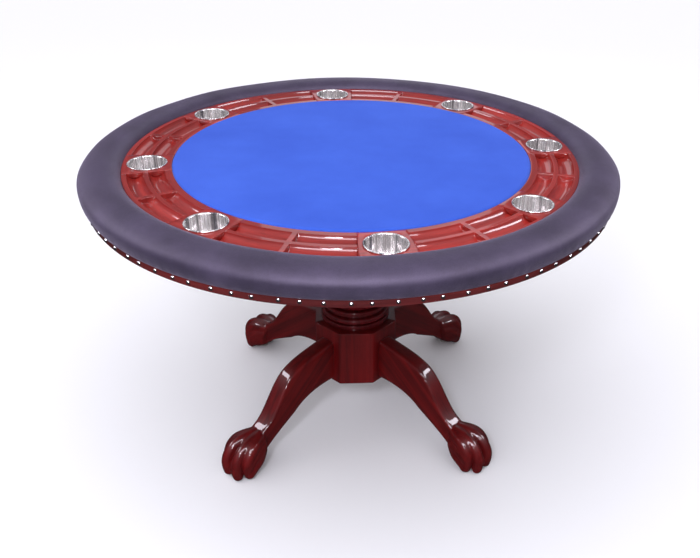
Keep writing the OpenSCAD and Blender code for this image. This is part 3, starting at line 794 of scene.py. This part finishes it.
def make_cups():
    """The eight cups, each turned about its own middle. The drawing lines and the painted reflection bars
    follow the turn.
    """
    faces = 0
    for i, middle in enumerate(cup_middles):
        section = cup_section(foot_of(f"cup_{i + 1}"), top_of(f"cup_{i + 1}"))
        points = turned(section, full_turn(112))
        points[..., 0] += middle[0]
        points[..., 1] += middle[1]
        around, height = points[..., :2] - middle[:2], points[..., 2:] - points[0, 0, 2]
        around /= np.maximum(np.linalg.norm(around, axis=-1, keepdims=True), 1e-6)
        line_and_bar_place = np.concatenate([around + 7.3 * i, height], axis=-1)
        mesh = grids_to_mesh(f"cup_{i + 1}_spun", [points], grains=[line_and_bar_place])
        piece_from(mesh, steel, body=f"cup_{i + 1}", stands_for=(f"cup_{i + 1}",))
        faces += len(mesh.polygons)
    return faces


print("cups:", make_cups(), "faces")

# %% [markdown]
# ## The band and its nails
# A thin cherry band covers the deck's edge, with domed nails driven through it by hand.
# The CAD places each nail a little off its even spacing, and the same rule is used here.
# A nail's head is a small cap of a sphere with few faces, because there are many of them.

# %% Edge band and nailheads
NAILS = 88
NAIL_R = 5 * MM
NAIL_H = 3.6 * MM
NAIL_Z = DECK_TOP - 9.5 * MM
NAIL_WANDER = math.radians(0.35)
NAIL_STRAY = 0.4 * MM


def band_surface(turns):
    """The band: a rounded rectangle carried round the deck."""
    ease = 1 * MM
    corners = [
        straight((DECK_R, DECK_FOOT), (BAND_R - ease, DECK_FOOT), 3),
        ellipse(BAND_R - ease, DECK_FOOT + ease, ease, ease, -90, 0, 5),
        ellipse(BAND_R - ease, DECK_TOP - ease, ease, ease, 0, 90, 5),
        np.array([(DECK_R, DECK_TOP), (DECK_R, DECK_FOOT)]),
    ]
    angles = full_turn(turns)
    points = turned(np.concatenate(corners), angles)
    grain = np.stack(np.broadcast_arrays(angles * BAND_R, points[..., 2], 0.3), axis=-1)
    return points, grain


def nails_mesh():
    """All the nails in one mesh: each dome is rings of points about its own axis, and a flat back."""
    dome_r = (NAIL_R**2 + NAIL_H**2) / (2 * NAIL_H)
    tilt = np.linspace(0, math.asin(NAIL_R / dome_r), 6)
    ring = full_turn(12)
    out = np.append(dome_r * np.cos(tilt) - (dome_r - NAIL_H), -0.3 * MM)
    wide = np.append(dome_r * np.sin(tilt), NAIL_R)
    number = np.arange(NAILS)
    angle = TOP_TURN + 2 * math.pi * number / NAILS + NAIL_WANDER * np.sin(np.radians(number * 131))
    height = NAIL_Z + NAIL_STRAY * np.sin(np.radians(number * 77))
    radial = BAND_R + out[:, None] + 0 * ring[None, :]
    side = wide[:, None] * np.cos(ring)[None, :]
    up = wide[:, None] * np.sin(ring)[None, :]
    grids = []
    for a, z in zip(angle, height):
        dome = swung(np.stack([radial, side, z + up], axis=-1), a)
        back = np.stack([dome[-1], np.broadcast_to(dome[-1].mean(axis=0), dome[-1].shape)])
        grids += [dome, back]
    return grids_to_mesh("nailheads_domed", grids)


band_points, band_grain = band_surface(360)
band = piece_from(
    grids_to_mesh("edge_band_eased", [band_points], grains=[band_grain]),
    # Its finish is painted darker than the ring, as painted shade under the rail.
    band_cherry_painted_shade, stands_for=("edge_band",),
)
nails = piece_from(nails_mesh(), chrome, stands_for=("nailheads",))
print("band and nails:", len(band.data.polygons), len(nails.data.polygons), "faces")

# %% [markdown]
# ## The turned column
# The base moulding, the urn and the capital are turned on a lathe, so each is a profile
# carried round the axis. The urn is then carved with gadroons, a ring of swelling petals.
# A petal is the top of an arc across its width, and V-shaped valleys lie between petals.
# The carving fades in above the urn's foot, and each petal ends in a round tip.

# %% Moulding and capital
HUB_TOP = top_of("hub_block")
HUB_FOOT = foot_of("hub_block")
URN_FOOT = foot_of("urn")
URN_TOP = top_of("urn")
MOULDING_R = radius_of("base_moulding")
URN_R = radius_of("urn")
CAPITAL_R = radius_of("capital")
CAPITAL_TOP = top_of("capital")
URN_FOOT_R, URN_NECK_R, URN_LIP_R = 74 * MM, 58 * MM, 84 * MM


def moulding_section():
    """Half section of the moulding: a plain ring, a torus, a cove and a thin bead."""
    height = URN_FOOT - HUB_TOP
    plain, torus, bead = height * 0.25, height * 0.165, height * 0.085
    waist = MOULDING_R - torus
    torus_z = HUB_TOP + plain + 2 * MM + torus
    bead_z = URN_FOOT - bead - 1 * MM
    cove = bead_z - bead - torus_z - torus
    parts = [
        [(0, HUB_TOP), (MOULDING_R - 1.5 * MM, HUB_TOP)],
        ellipse(MOULDING_R - 1.5 * MM, HUB_TOP + 1.5 * MM, 1.5 * MM, 1.5 * MM, -90, 0, 5),
        ellipse(MOULDING_R - 3 * MM, HUB_TOP + plain - 3 * MM, 3 * MM, 3 * MM, 0, 90, 8),
        straight((MOULDING_R - 3.4 * MM, HUB_TOP + plain), (waist, HUB_TOP + plain + 0.6 * MM), 5),
        ellipse(waist, torus_z, torus, torus, -86, 86, 28),
        ellipse(waist, torus_z + torus + cove / 2, -5 * MM, cove / 2, -82, 82, 16),
        ellipse(waist, bead_z, bead, bead, -86, 86, 16),
        [(URN_FOOT_R, URN_FOOT), (0, URN_FOOT)],
    ]
    return np.concatenate([np.array(p) for p in parts])


def capital_section():
    """Half section of the capital: a bead, a cove that opens upwards and a plain lip."""
    low, high = URN_TOP, CAPITAL_TOP
    lip = (high - low) * 0.3
    bead, bead_r = 3 * MM, URN_LIP_R - 2 * MM
    cove_w, cove_h = CAPITAL_R - URN_LIP_R, high - low - lip - 6 * MM
    parts = [
        [(0, low), (bead_r, low)],
        ellipse(bead_r, low + bead, bead, bead, -90, 60, 10),
        ellipse(CAPITAL_R - 1 * MM, low + 6 * MM, cove_w, cove_h, 180, 92, 18),
        [(CAPITAL_R, high - lip + 1 * MM), (CAPITAL_R, high - 2 * MM)],
        [(CAPITAL_R - 2 * MM, high), (0, high)],
    ]
    return np.concatenate([np.array(p) for p in parts])


for part, section in (("base_moulding", moulding_section()), ("capital", capital_section())):
    shape = grids_to_mesh(f"{part}_turned", [turned(section, full_turn(192))])
    piece_from(shape, mahogany_turned, stands_for=(part,))
    print(part, len(shape.polygons), "faces")

# %% Carved urn
PETALS = 24
PETAL_DEPTH = 7 * MM


def urn_section():
    """Half section of the urn: foot, belly, neck and flare, as three Bezier curves."""
    def up(h):
        return np.array([0, h * MM])

    tall = URN_TOP - URN_FOOT
    foot = np.array([URN_FOOT_R, URN_FOOT])
    belly = np.array([URN_R, URN_FOOT + tall * 0.27])
    neck = np.array([URN_NECK_R, URN_FOOT + tall * 0.68])
    lip = np.array([URN_LIP_R, URN_TOP])
    return np.concatenate([
        bezier(foot, foot + np.array([18, 6]) * MM, belly - up(42), belly, 52),
        bezier(belly, belly + up(54), neck - up(54), neck, 70),
        bezier(neck, neck + up(40), lip - np.array([10, 26]) * MM, lip, 36),
        lip[None, :],
    ])


def urn_surface(turns):
    """The turned urn with petals: the radius drops by the petal's arc, more towards the valleys."""
    section = urn_section()
    angles = full_turn(turns)
    height = section[:, 1:]
    across = 2 * np.mod(angles * PETALS / (2 * math.pi), 1) - 1
    arch = np.sqrt(1 - (0.98 * across) ** 2)
    tip = URN_FOOT + (URN_TOP - URN_FOOT) * 0.60 - 26 * MM * across**2
    zone = smooth_steps(height, URN_FOOT + 1 * MM, URN_FOOT + 14 * MM)
    zone = zone * (1 - smooth_steps(height, tip - 9 * MM, tip))
    rim = np.exp(-(((height - tip) / (3.5 * MM)) ** 2)) * 0.15
    points = round_axis(section[:, :1] - PETAL_DEPTH * ((1 - arch) * zone + rim), angles, height)
    low, high = points[:1] * [0, 0, 1], points[-1:] * [0, 0, 1]
    return np.concatenate([low, points, high])


urn = piece_from(
    grids_to_mesh("urn_carved", [urn_surface(480)]), mahogany_turned, stands_for=("urn",)
)
print("urn:", len(urn.data.polygons), "faces")

# %% [markdown]
# ## The hub
# The hub is an octagonal block with crisp, just broken edges, where the lacquer makes a thin
# bright line. Its radius over the angle is a rounded octagon, and its rows are the eased
# bottom and top. Underneath, a shallow recess takes the round cap.

# %% Octagonal hub
HUB_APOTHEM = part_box("hub_block")[1][0]
CAP_R = radius_of("hub_cap") + 0.5 * MM
CAP_TOP = top_of("hub_cap")


def octagon_radius(angles, apothem, rounding):
    """Distance from the axis to an octagon's outline, whose corners are rounded softly."""
    turn = np.abs(np.mod(angles + math.pi / 8, math.pi / 4) - math.pi / 8)
    corner = apothem / math.cos(math.pi / 8)
    flat = apothem / np.cos(turn)
    limit = corner - rounding
    return np.where(flat > limit, limit + (flat - limit) * 0.35, flat)


def hub_surface():
    """Rows of the octagon from the recess floor, under the block, up its side and over its top."""
    corners = np.arange(8) * math.pi / 4 + math.pi / 8
    angles = np.sort(np.concatenate([np.linspace(0, 2 * math.pi, 97)[1:], close_to(corners, 0.06, 9)]))
    angles = np.unique(np.round(np.append(angles, [0, 2 * math.pi]), 6))
    angles[-1] = 2 * math.pi
    ease = 2 * MM
    outline = octagon_radius(angles, HUB_APOTHEM, 1.2 * MM)
    low, high = HUB_FOOT, HUB_TOP
    rows = [(0, CAP_TOP), (CAP_R, CAP_TOP), (CAP_R, low)]
    rows += [(outline - ease, low), (outline - 0.3 * ease, low + 0.3 * ease), (outline, low + ease)]
    rows += [(outline, z) for z in np.linspace(low + 2 * ease, high - 2 * ease, 12)]
    rows += [(outline, high - ease), (outline - 0.3 * ease, high - 0.3 * ease)]
    rows += [(outline - ease, high), (0, high)]
    return np.stack([round_axis(r, angles, z) for r, z in rows])


hub_points = hub_surface()
hub_grain = np.stack([hub_points[..., 2], hub_points[..., 0], hub_points[..., 1]], axis=-1)
hub = piece_from(
    grids_to_mesh("hub_block_eased", [hub_points], grains=[hub_grain]),
    mahogany, stands_for=("hub_block",),
)
print("hub:", len(hub.data.polygons), "faces")

# %% [markdown]
# ## The legs
# A cabriole leg is sawn from a thick plank and its edges are rounded, and the paw is carved
# at its end. One grid covers leg and paw. Cross-sections stand along the leg, each spanned
# between a point on the upper edge and one on the lower edge. From the ankle the sections run
# on into the paw, and then close towards its front like the rings of a globe. Along each ray
# from a section's middle, the surface lies where the ray leaves the outermost of the shapes:
# the rounded plank, the palm, or the chain of balls that makes a toe.

# %% Leg and paw
LEG_REACH = 472 * MM
LEG_T = 48 * MM
LEG_TOP = 255 * MM
LEG_LOW = 137 * MM
PAW_S = LEG_REACH - 68 * MM
PAW_H = 100 * MM
GLIDE_T = 2 * MM
RUN = LEG_REACH - HUB_APOTHEM


def leg_edges(count):
    """Upper and lower edge of a leg in its side view (distance along the leg, height)."""
    def at(share, z):
        return np.array([HUB_APOTHEM + RUN * share, z])

    def step(share, z):
        return np.array([RUN * share, z * MM])

    hip, knee, ankle = at(0, LEG_TOP), at(0.41, LEG_TOP - 36 * MM), at(0.68, PAW_H + 7 * MM)
    root, shin, calf = at(0, LEG_LOW), at(0.39, LEG_LOW - 33 * MM), at(0.715, PAW_H * 0.3)
    upper = np.concatenate([
        bezier(hip, hip + step(0.19, -9), knee + step(-0.08, 22), knee, count),
        bezier(knee, knee + step(0.11, -30), ankle + step(-0.12, 24), ankle, count),
    ])
    lower = np.concatenate([
        bezier(root, root + step(0.17, 5), shin + step(-0.09, 26), shin, count),
        bezier(shin, shin + step(0.13, -26), calf + step(-0.07, 27), calf, count),
    ])
    return upper, lower


def chain(stops, count=72):
    """Many overlapping balls (middle, radius) along a smooth curve near some given balls."""
    stops = np.array(stops) * MM
    at = np.linspace(0, len(stops) - 1, count)
    balls = np.stack([np.interp(at, np.arange(len(stops)), column) for column in stops.T], axis=-1)
    for _ in range(60):
        balls[1:-1] = (balls[:-2] + 2 * balls[1:-1] + balls[2:]) / 4
    return balls[:, :3], balls[:, 3]


def toe(stops, side):
    """A toe on one side of the paw: its balls with their sideways distance turned to that side."""
    return chain([(along, side * aside, height, size) for along, aside, height, size in stops])


# Each ball: distance along the leg, distance to the side, height, radius, in millimetres.
INNER_TOE = [
    (346, 5, 85, 17), (388, 11, 89, 16.5), (416, 15.5, 86, 15), (436, 17.5, 76, 14),
    (450, 18, 54, 14), (451, 18, 34, 13.5), (447, 17.5, 16, 13.5),
]
OUTER_TOE = [
    (346, 8, 81, 17), (372, 17, 85, 17), (396, 27, 86, 16), (412, 33, 80, 14.5),
    (427, 35, 62, 14), (430, 35, 38, 14), (423, 33, 16, 13.5),
]
PALM = [(362, 0, 64, 28), (390, 0, 52, 33), (412, 0, 38, 33), (432, 0, 28, 24)]
PALM_SIDE = [(368, 12, 64, 26), (390, 22, 62, 25), (410, 30, 57, 20), (420, 33, 48, 16)]
PALM_LOW = [(378, 14, 56, 26), (394, 21, 42, 27), (410, 29, 32, 21), (418, 31, 22, 17)]
PAW = [toe(stops, side) for stops in (INNER_TOE, OUTER_TOE, PALM_SIDE, PALM_LOW) for side in (-1, 1)]
PAW.append(chain(PALM))


def ball_reach(origin, way, balls):
    """How far a ray from origin along way goes before it leaves the farthest of some balls."""
    middle, size = balls
    to = middle[None, None] - origin[:, :, None]
    along = (to * way[:, :, None]).sum(axis=-1)
    left = along**2 - (to**2).sum(axis=-1) + size**2
    reach = np.where(left > 0, along + np.sqrt(np.maximum(left, 0)), 0)
    return np.maximum(reach.max(axis=-1), 0)


def soft_greatest(reaches, sharpness):
    """The greatest of several distances, with the corner between two of them a little filled."""
    stack = np.maximum(np.stack(reaches), 1e-4)
    top = stack.max(axis=0)
    return top * ((stack / top) ** sharpness).sum(axis=0) ** (1 / sharpness)


def leg_sections():
    """Sections from hip to toes: their middles, their ups, half heights and tilts forward.

    They stand across the plank first, then run into the paw's core, and last they tilt about
    the core until they lie flat ahead of it.
    """
    upper, lower = leg_edges(64)
    share = np.linspace(0, 1, 30)[1:, None]
    close = np.linspace(0, math.pi / 2, 90)[1:]
    core = np.array([PAW_S + 4 * MM, 46 * MM])
    middle = (upper + lower) / 2
    run_in = middle[-1] * (1 - share) + core * share
    half = np.linalg.norm(upper - lower, axis=1) / 2
    up = (upper - lower) / (2 * half[:, None])
    turn_up = up[-1] * (1 - share) + np.array([0, 1]) * share
    turn_up /= np.linalg.norm(turn_up, axis=1, keepdims=True)
    middles = np.concatenate([middle, run_in, np.tile(core, (len(close), 1))])
    ups = np.concatenate([up, turn_up, np.tile([0.0, 1.0], (len(close), 1))])
    ends = [half[-1] * (1 - 0.3 * share[:, 0]), np.full(len(close), half[-1] * 0.7)]
    tilt = np.concatenate([np.zeros(len(middle) + len(run_in)), close])
    return middles, ups, np.concatenate([half, *ends]), tilt


def plank_reach(ring, half, along, tilt):
    """Distance to the plank's rounded outline in each section; it shrinks away in the paw."""
    power = 7.0
    up, aside = np.cos(ring) / half[:, None], np.sin(ring) / (LEG_T / 2)
    reach = (np.abs(up) ** power + np.abs(aside) ** power) ** (-1 / power)
    fade = 1 - smooth_steps(along, PAW_S - 42 * MM, PAW_S - 8 * MM)
    return reach * (0.35 + 0.65 * fade[:, None]) * np.where(tilt > 0, 0.5, 1)[:, None]


def leg_surface():
    """One grid over leg and paw, in the leg's own frame: X along it, Y across, Z up."""
    middles, ups, half, tilt = leg_sections()
    along, still = middles[:, 0], 0 * tilt
    ring = full_turn(168)
    ahead = np.stack([ups[:, 1], still, -ups[:, 0]], axis=-1)
    up3 = np.stack([ups[:, 0], still, ups[:, 1]], axis=-1)
    across = np.array([0, 1.0, 0])
    flat = np.cos(ring)[:, None] * up3[:, None] + np.sin(ring)[:, None] * across
    way = np.cos(tilt)[:, None, None] * flat + np.sin(tilt)[:, None, None] * ahead[:, None]
    origin = np.stack([along, still, middles[:, 1]], axis=-1)[:, None]
    origin = np.repeat(origin, len(ring), axis=1)
    paw_zone = smooth_steps(along, PAW_S - 62 * MM, PAW_S - 40 * MM)[:, None]
    paws = [ball_reach(origin, way, balls) * paw_zone for balls in PAW]
    reach = soft_greatest([plank_reach(ring, half, along, tilt), *paws], 22)
    points = origin + way * reach[..., None]
    points[..., 2] = np.maximum(points[..., 2], GLIDE_T)
    root, tip = (row.mean(axis=1, keepdims=True).repeat(len(ring), 1) for row in (points[:1], points[-1:]))
    return np.concatenate([root, points, tip])


leg_points = leg_surface()
lean = math.radians(38)
along, aside, up = leg_points[..., 0], leg_points[..., 1], leg_points[..., 2]
leg_grain = np.stack([
    along * math.cos(lean) - up * math.sin(lean), aside, along * math.sin(lean) + up * math.cos(lean)
], axis=-1)


def make_legs():
    """The four legs: the same grid turned to each diagonal, with the grain moved on for each."""
    for i in range(4):
        points = swung(leg_points, math.radians(45 + 90 * i))
        grain = leg_grain + [0.37 * i, 0.2 * i, 0.1 * i]
        mesh = grids_to_mesh(f"leg_{i + 1}_carved", [points], grains=[grain])
        piece_from(mesh, mahogany, stands_for=(f"leg_{i + 1}",))
    return len(mesh.polygons)


print("legs:", make_legs(), "faces each")

# %% [markdown]
# ## Plain pieces
# The boards, screws and bolts keep their CAD shape. They are seen only from below, or not at
# all, and take a plain finish.

# %% Finishes of the CAD pieces
finish_node(stained_board, "deck", "top_plate")
finish_node(pale_board, "riser_board", "play_board", "rail_core")
finish_node(beech, "dowels")
finish_node(nylon, "glides")
finish_node(mahogany_turned, "hub_cap")
finish_node(
    zinc, "rail_screws", "panel_screws", "ring_screws", "plate_screws", "cap_screws", "tie_rod",
    "rod_nuts", "rod_washers", "hanger_bolts", "leg_nuts", "leg_washers",
)
print("plain pieces finished")

# %% [markdown]
# ## Floor and light
# The floor is plain and pale. The light is soft and comes mostly from above, as in a room
# with a bright ceiling. A wide, far lamp lights floor and table evenly. Long panels and small
# glints show only in reflections: they make the crisp highlights that tell how smooth the
# lacquer is. The pale floor isn't seen in reflections, which would turn the dark red wood grey.

# %% Floor
floor_mesh = bpy.data.meshes.new("floor")
FLOOR_HALF = 30
corners = [(x * FLOOR_HALF, y * FLOOR_HALF, 0) for x, y in ((-1, -1), (1, -1), (1, 1), (-1, 1))]
floor_mesh.from_pydata(corners, [], [(0, 1, 2, 3)])
floor = bpy.data.objects.new("floor", floor_mesh)
bpy.context.scene.collection.objects.link(floor)
floor_finish, *_ = new_finish("pale_floor", base_color=grey(0.95), roughness=0.8, specular_ior_level=0.1)
floor_mesh.materials.append(floor_finish)
floor.visible_glossy = False
print("floor laid")


# %% Lights and world
def lamp_at(name, kind, place, target, power, colour):
    """A lamp of some kind at a place, turned to face a target."""
    data = bpy.data.lights.new(name, kind)
    data.energy = power
    data.color = colour
    lamp = bpy.data.objects.new(name, data)
    bpy.context.scene.collection.objects.link(lamp)
    lamp.location = place
    lamp.rotation_euler = (Vector(target) - Vector(place)).to_track_quat("-Z", "Y").to_euler()
    return lamp


def soft_box(name, place, target, size, power, colour):
    """A rectangular area lamp, given its width and height in metres and its power in watts."""
    lamp = lamp_at(name, "AREA", place, target, power, colour)
    lamp.data.shape = "RECTANGLE"
    lamp.data.size, lamp.data.size_y = size
    return lamp


COOL = (0.93, 0.93, 1.0)
ceiling = lamp_at("ceiling", "SUN", (-0.6, -0.8, 3.0), (0, 0, 0), 2.4, COOL)
ceiling.data.angle = math.radians(100)
ceiling.visible_glossy = False
soft_box("window", (-0.55, -2.5, 2.4), (0, 0, 0.5), (0.45, 0.45), 26, (0.88, 0.88, 1.0))
soft_box("far_window", (0.2, 3.4, 2.1), (0, 0, 0.7), (1.6, 1.6), 8, COOL)
fill = soft_box("front_fill", (-0.6, -3.2, 0.5), (0, 0, 0.1), (1.4, 1.4), 16, (0.95, 0.92, 1.0))
fill.visible_glossy = False
for name, place, size, power in (
    ("front_panel", (0.1, -2.0, 2.7), (2.8, 0.6), 75),
    ("right_panel", (2.4, -0.1, 2.3), (1.4, 0.5), 38),
    ("left_panel", (-2.4, 0.1, 2.3), (1.4, 0.5), 32),
    ("glint", (-0.35, -2.3, 1.95), (0.14, 0.14), 5),
    ("low_glint", (-0.25, -2.4, 1.3), (0.16, 0.16), 8),
):
    soft_box(name, place, (0, 0, 0.7), size, power, (0.94, 0.9, 1.0)).visible_diffuse = False

world = bpy.data.worlds.new("studio")
bpy.context.scene.world = world
world.use_nodes = True
sky = world.node_tree
sky_place = add_node(sky, "TexCoord").outputs["Generated"]
sky_height = add_node(sky, "SeparateXYZ", {"Vector": sky_place}).outputs["Z"]
dusk, wall, ceiling_tone = (0.05, 0.045, 0.05, 1), (0.17, 0.16, 0.19, 1), (0.8, 0.78, 0.84, 1)
sky_colour = ramp(sky, sky_height, (0.0, dusk), (0.3, wall), (0.7, ceiling_tone))
sky.nodes["Background"].inputs["Strength"].default_value = 0.6
sky.links.new(sky_colour, sky.nodes["Background"].inputs["Color"])
bpy.context.scene.view_settings.view_transform = "Standard"
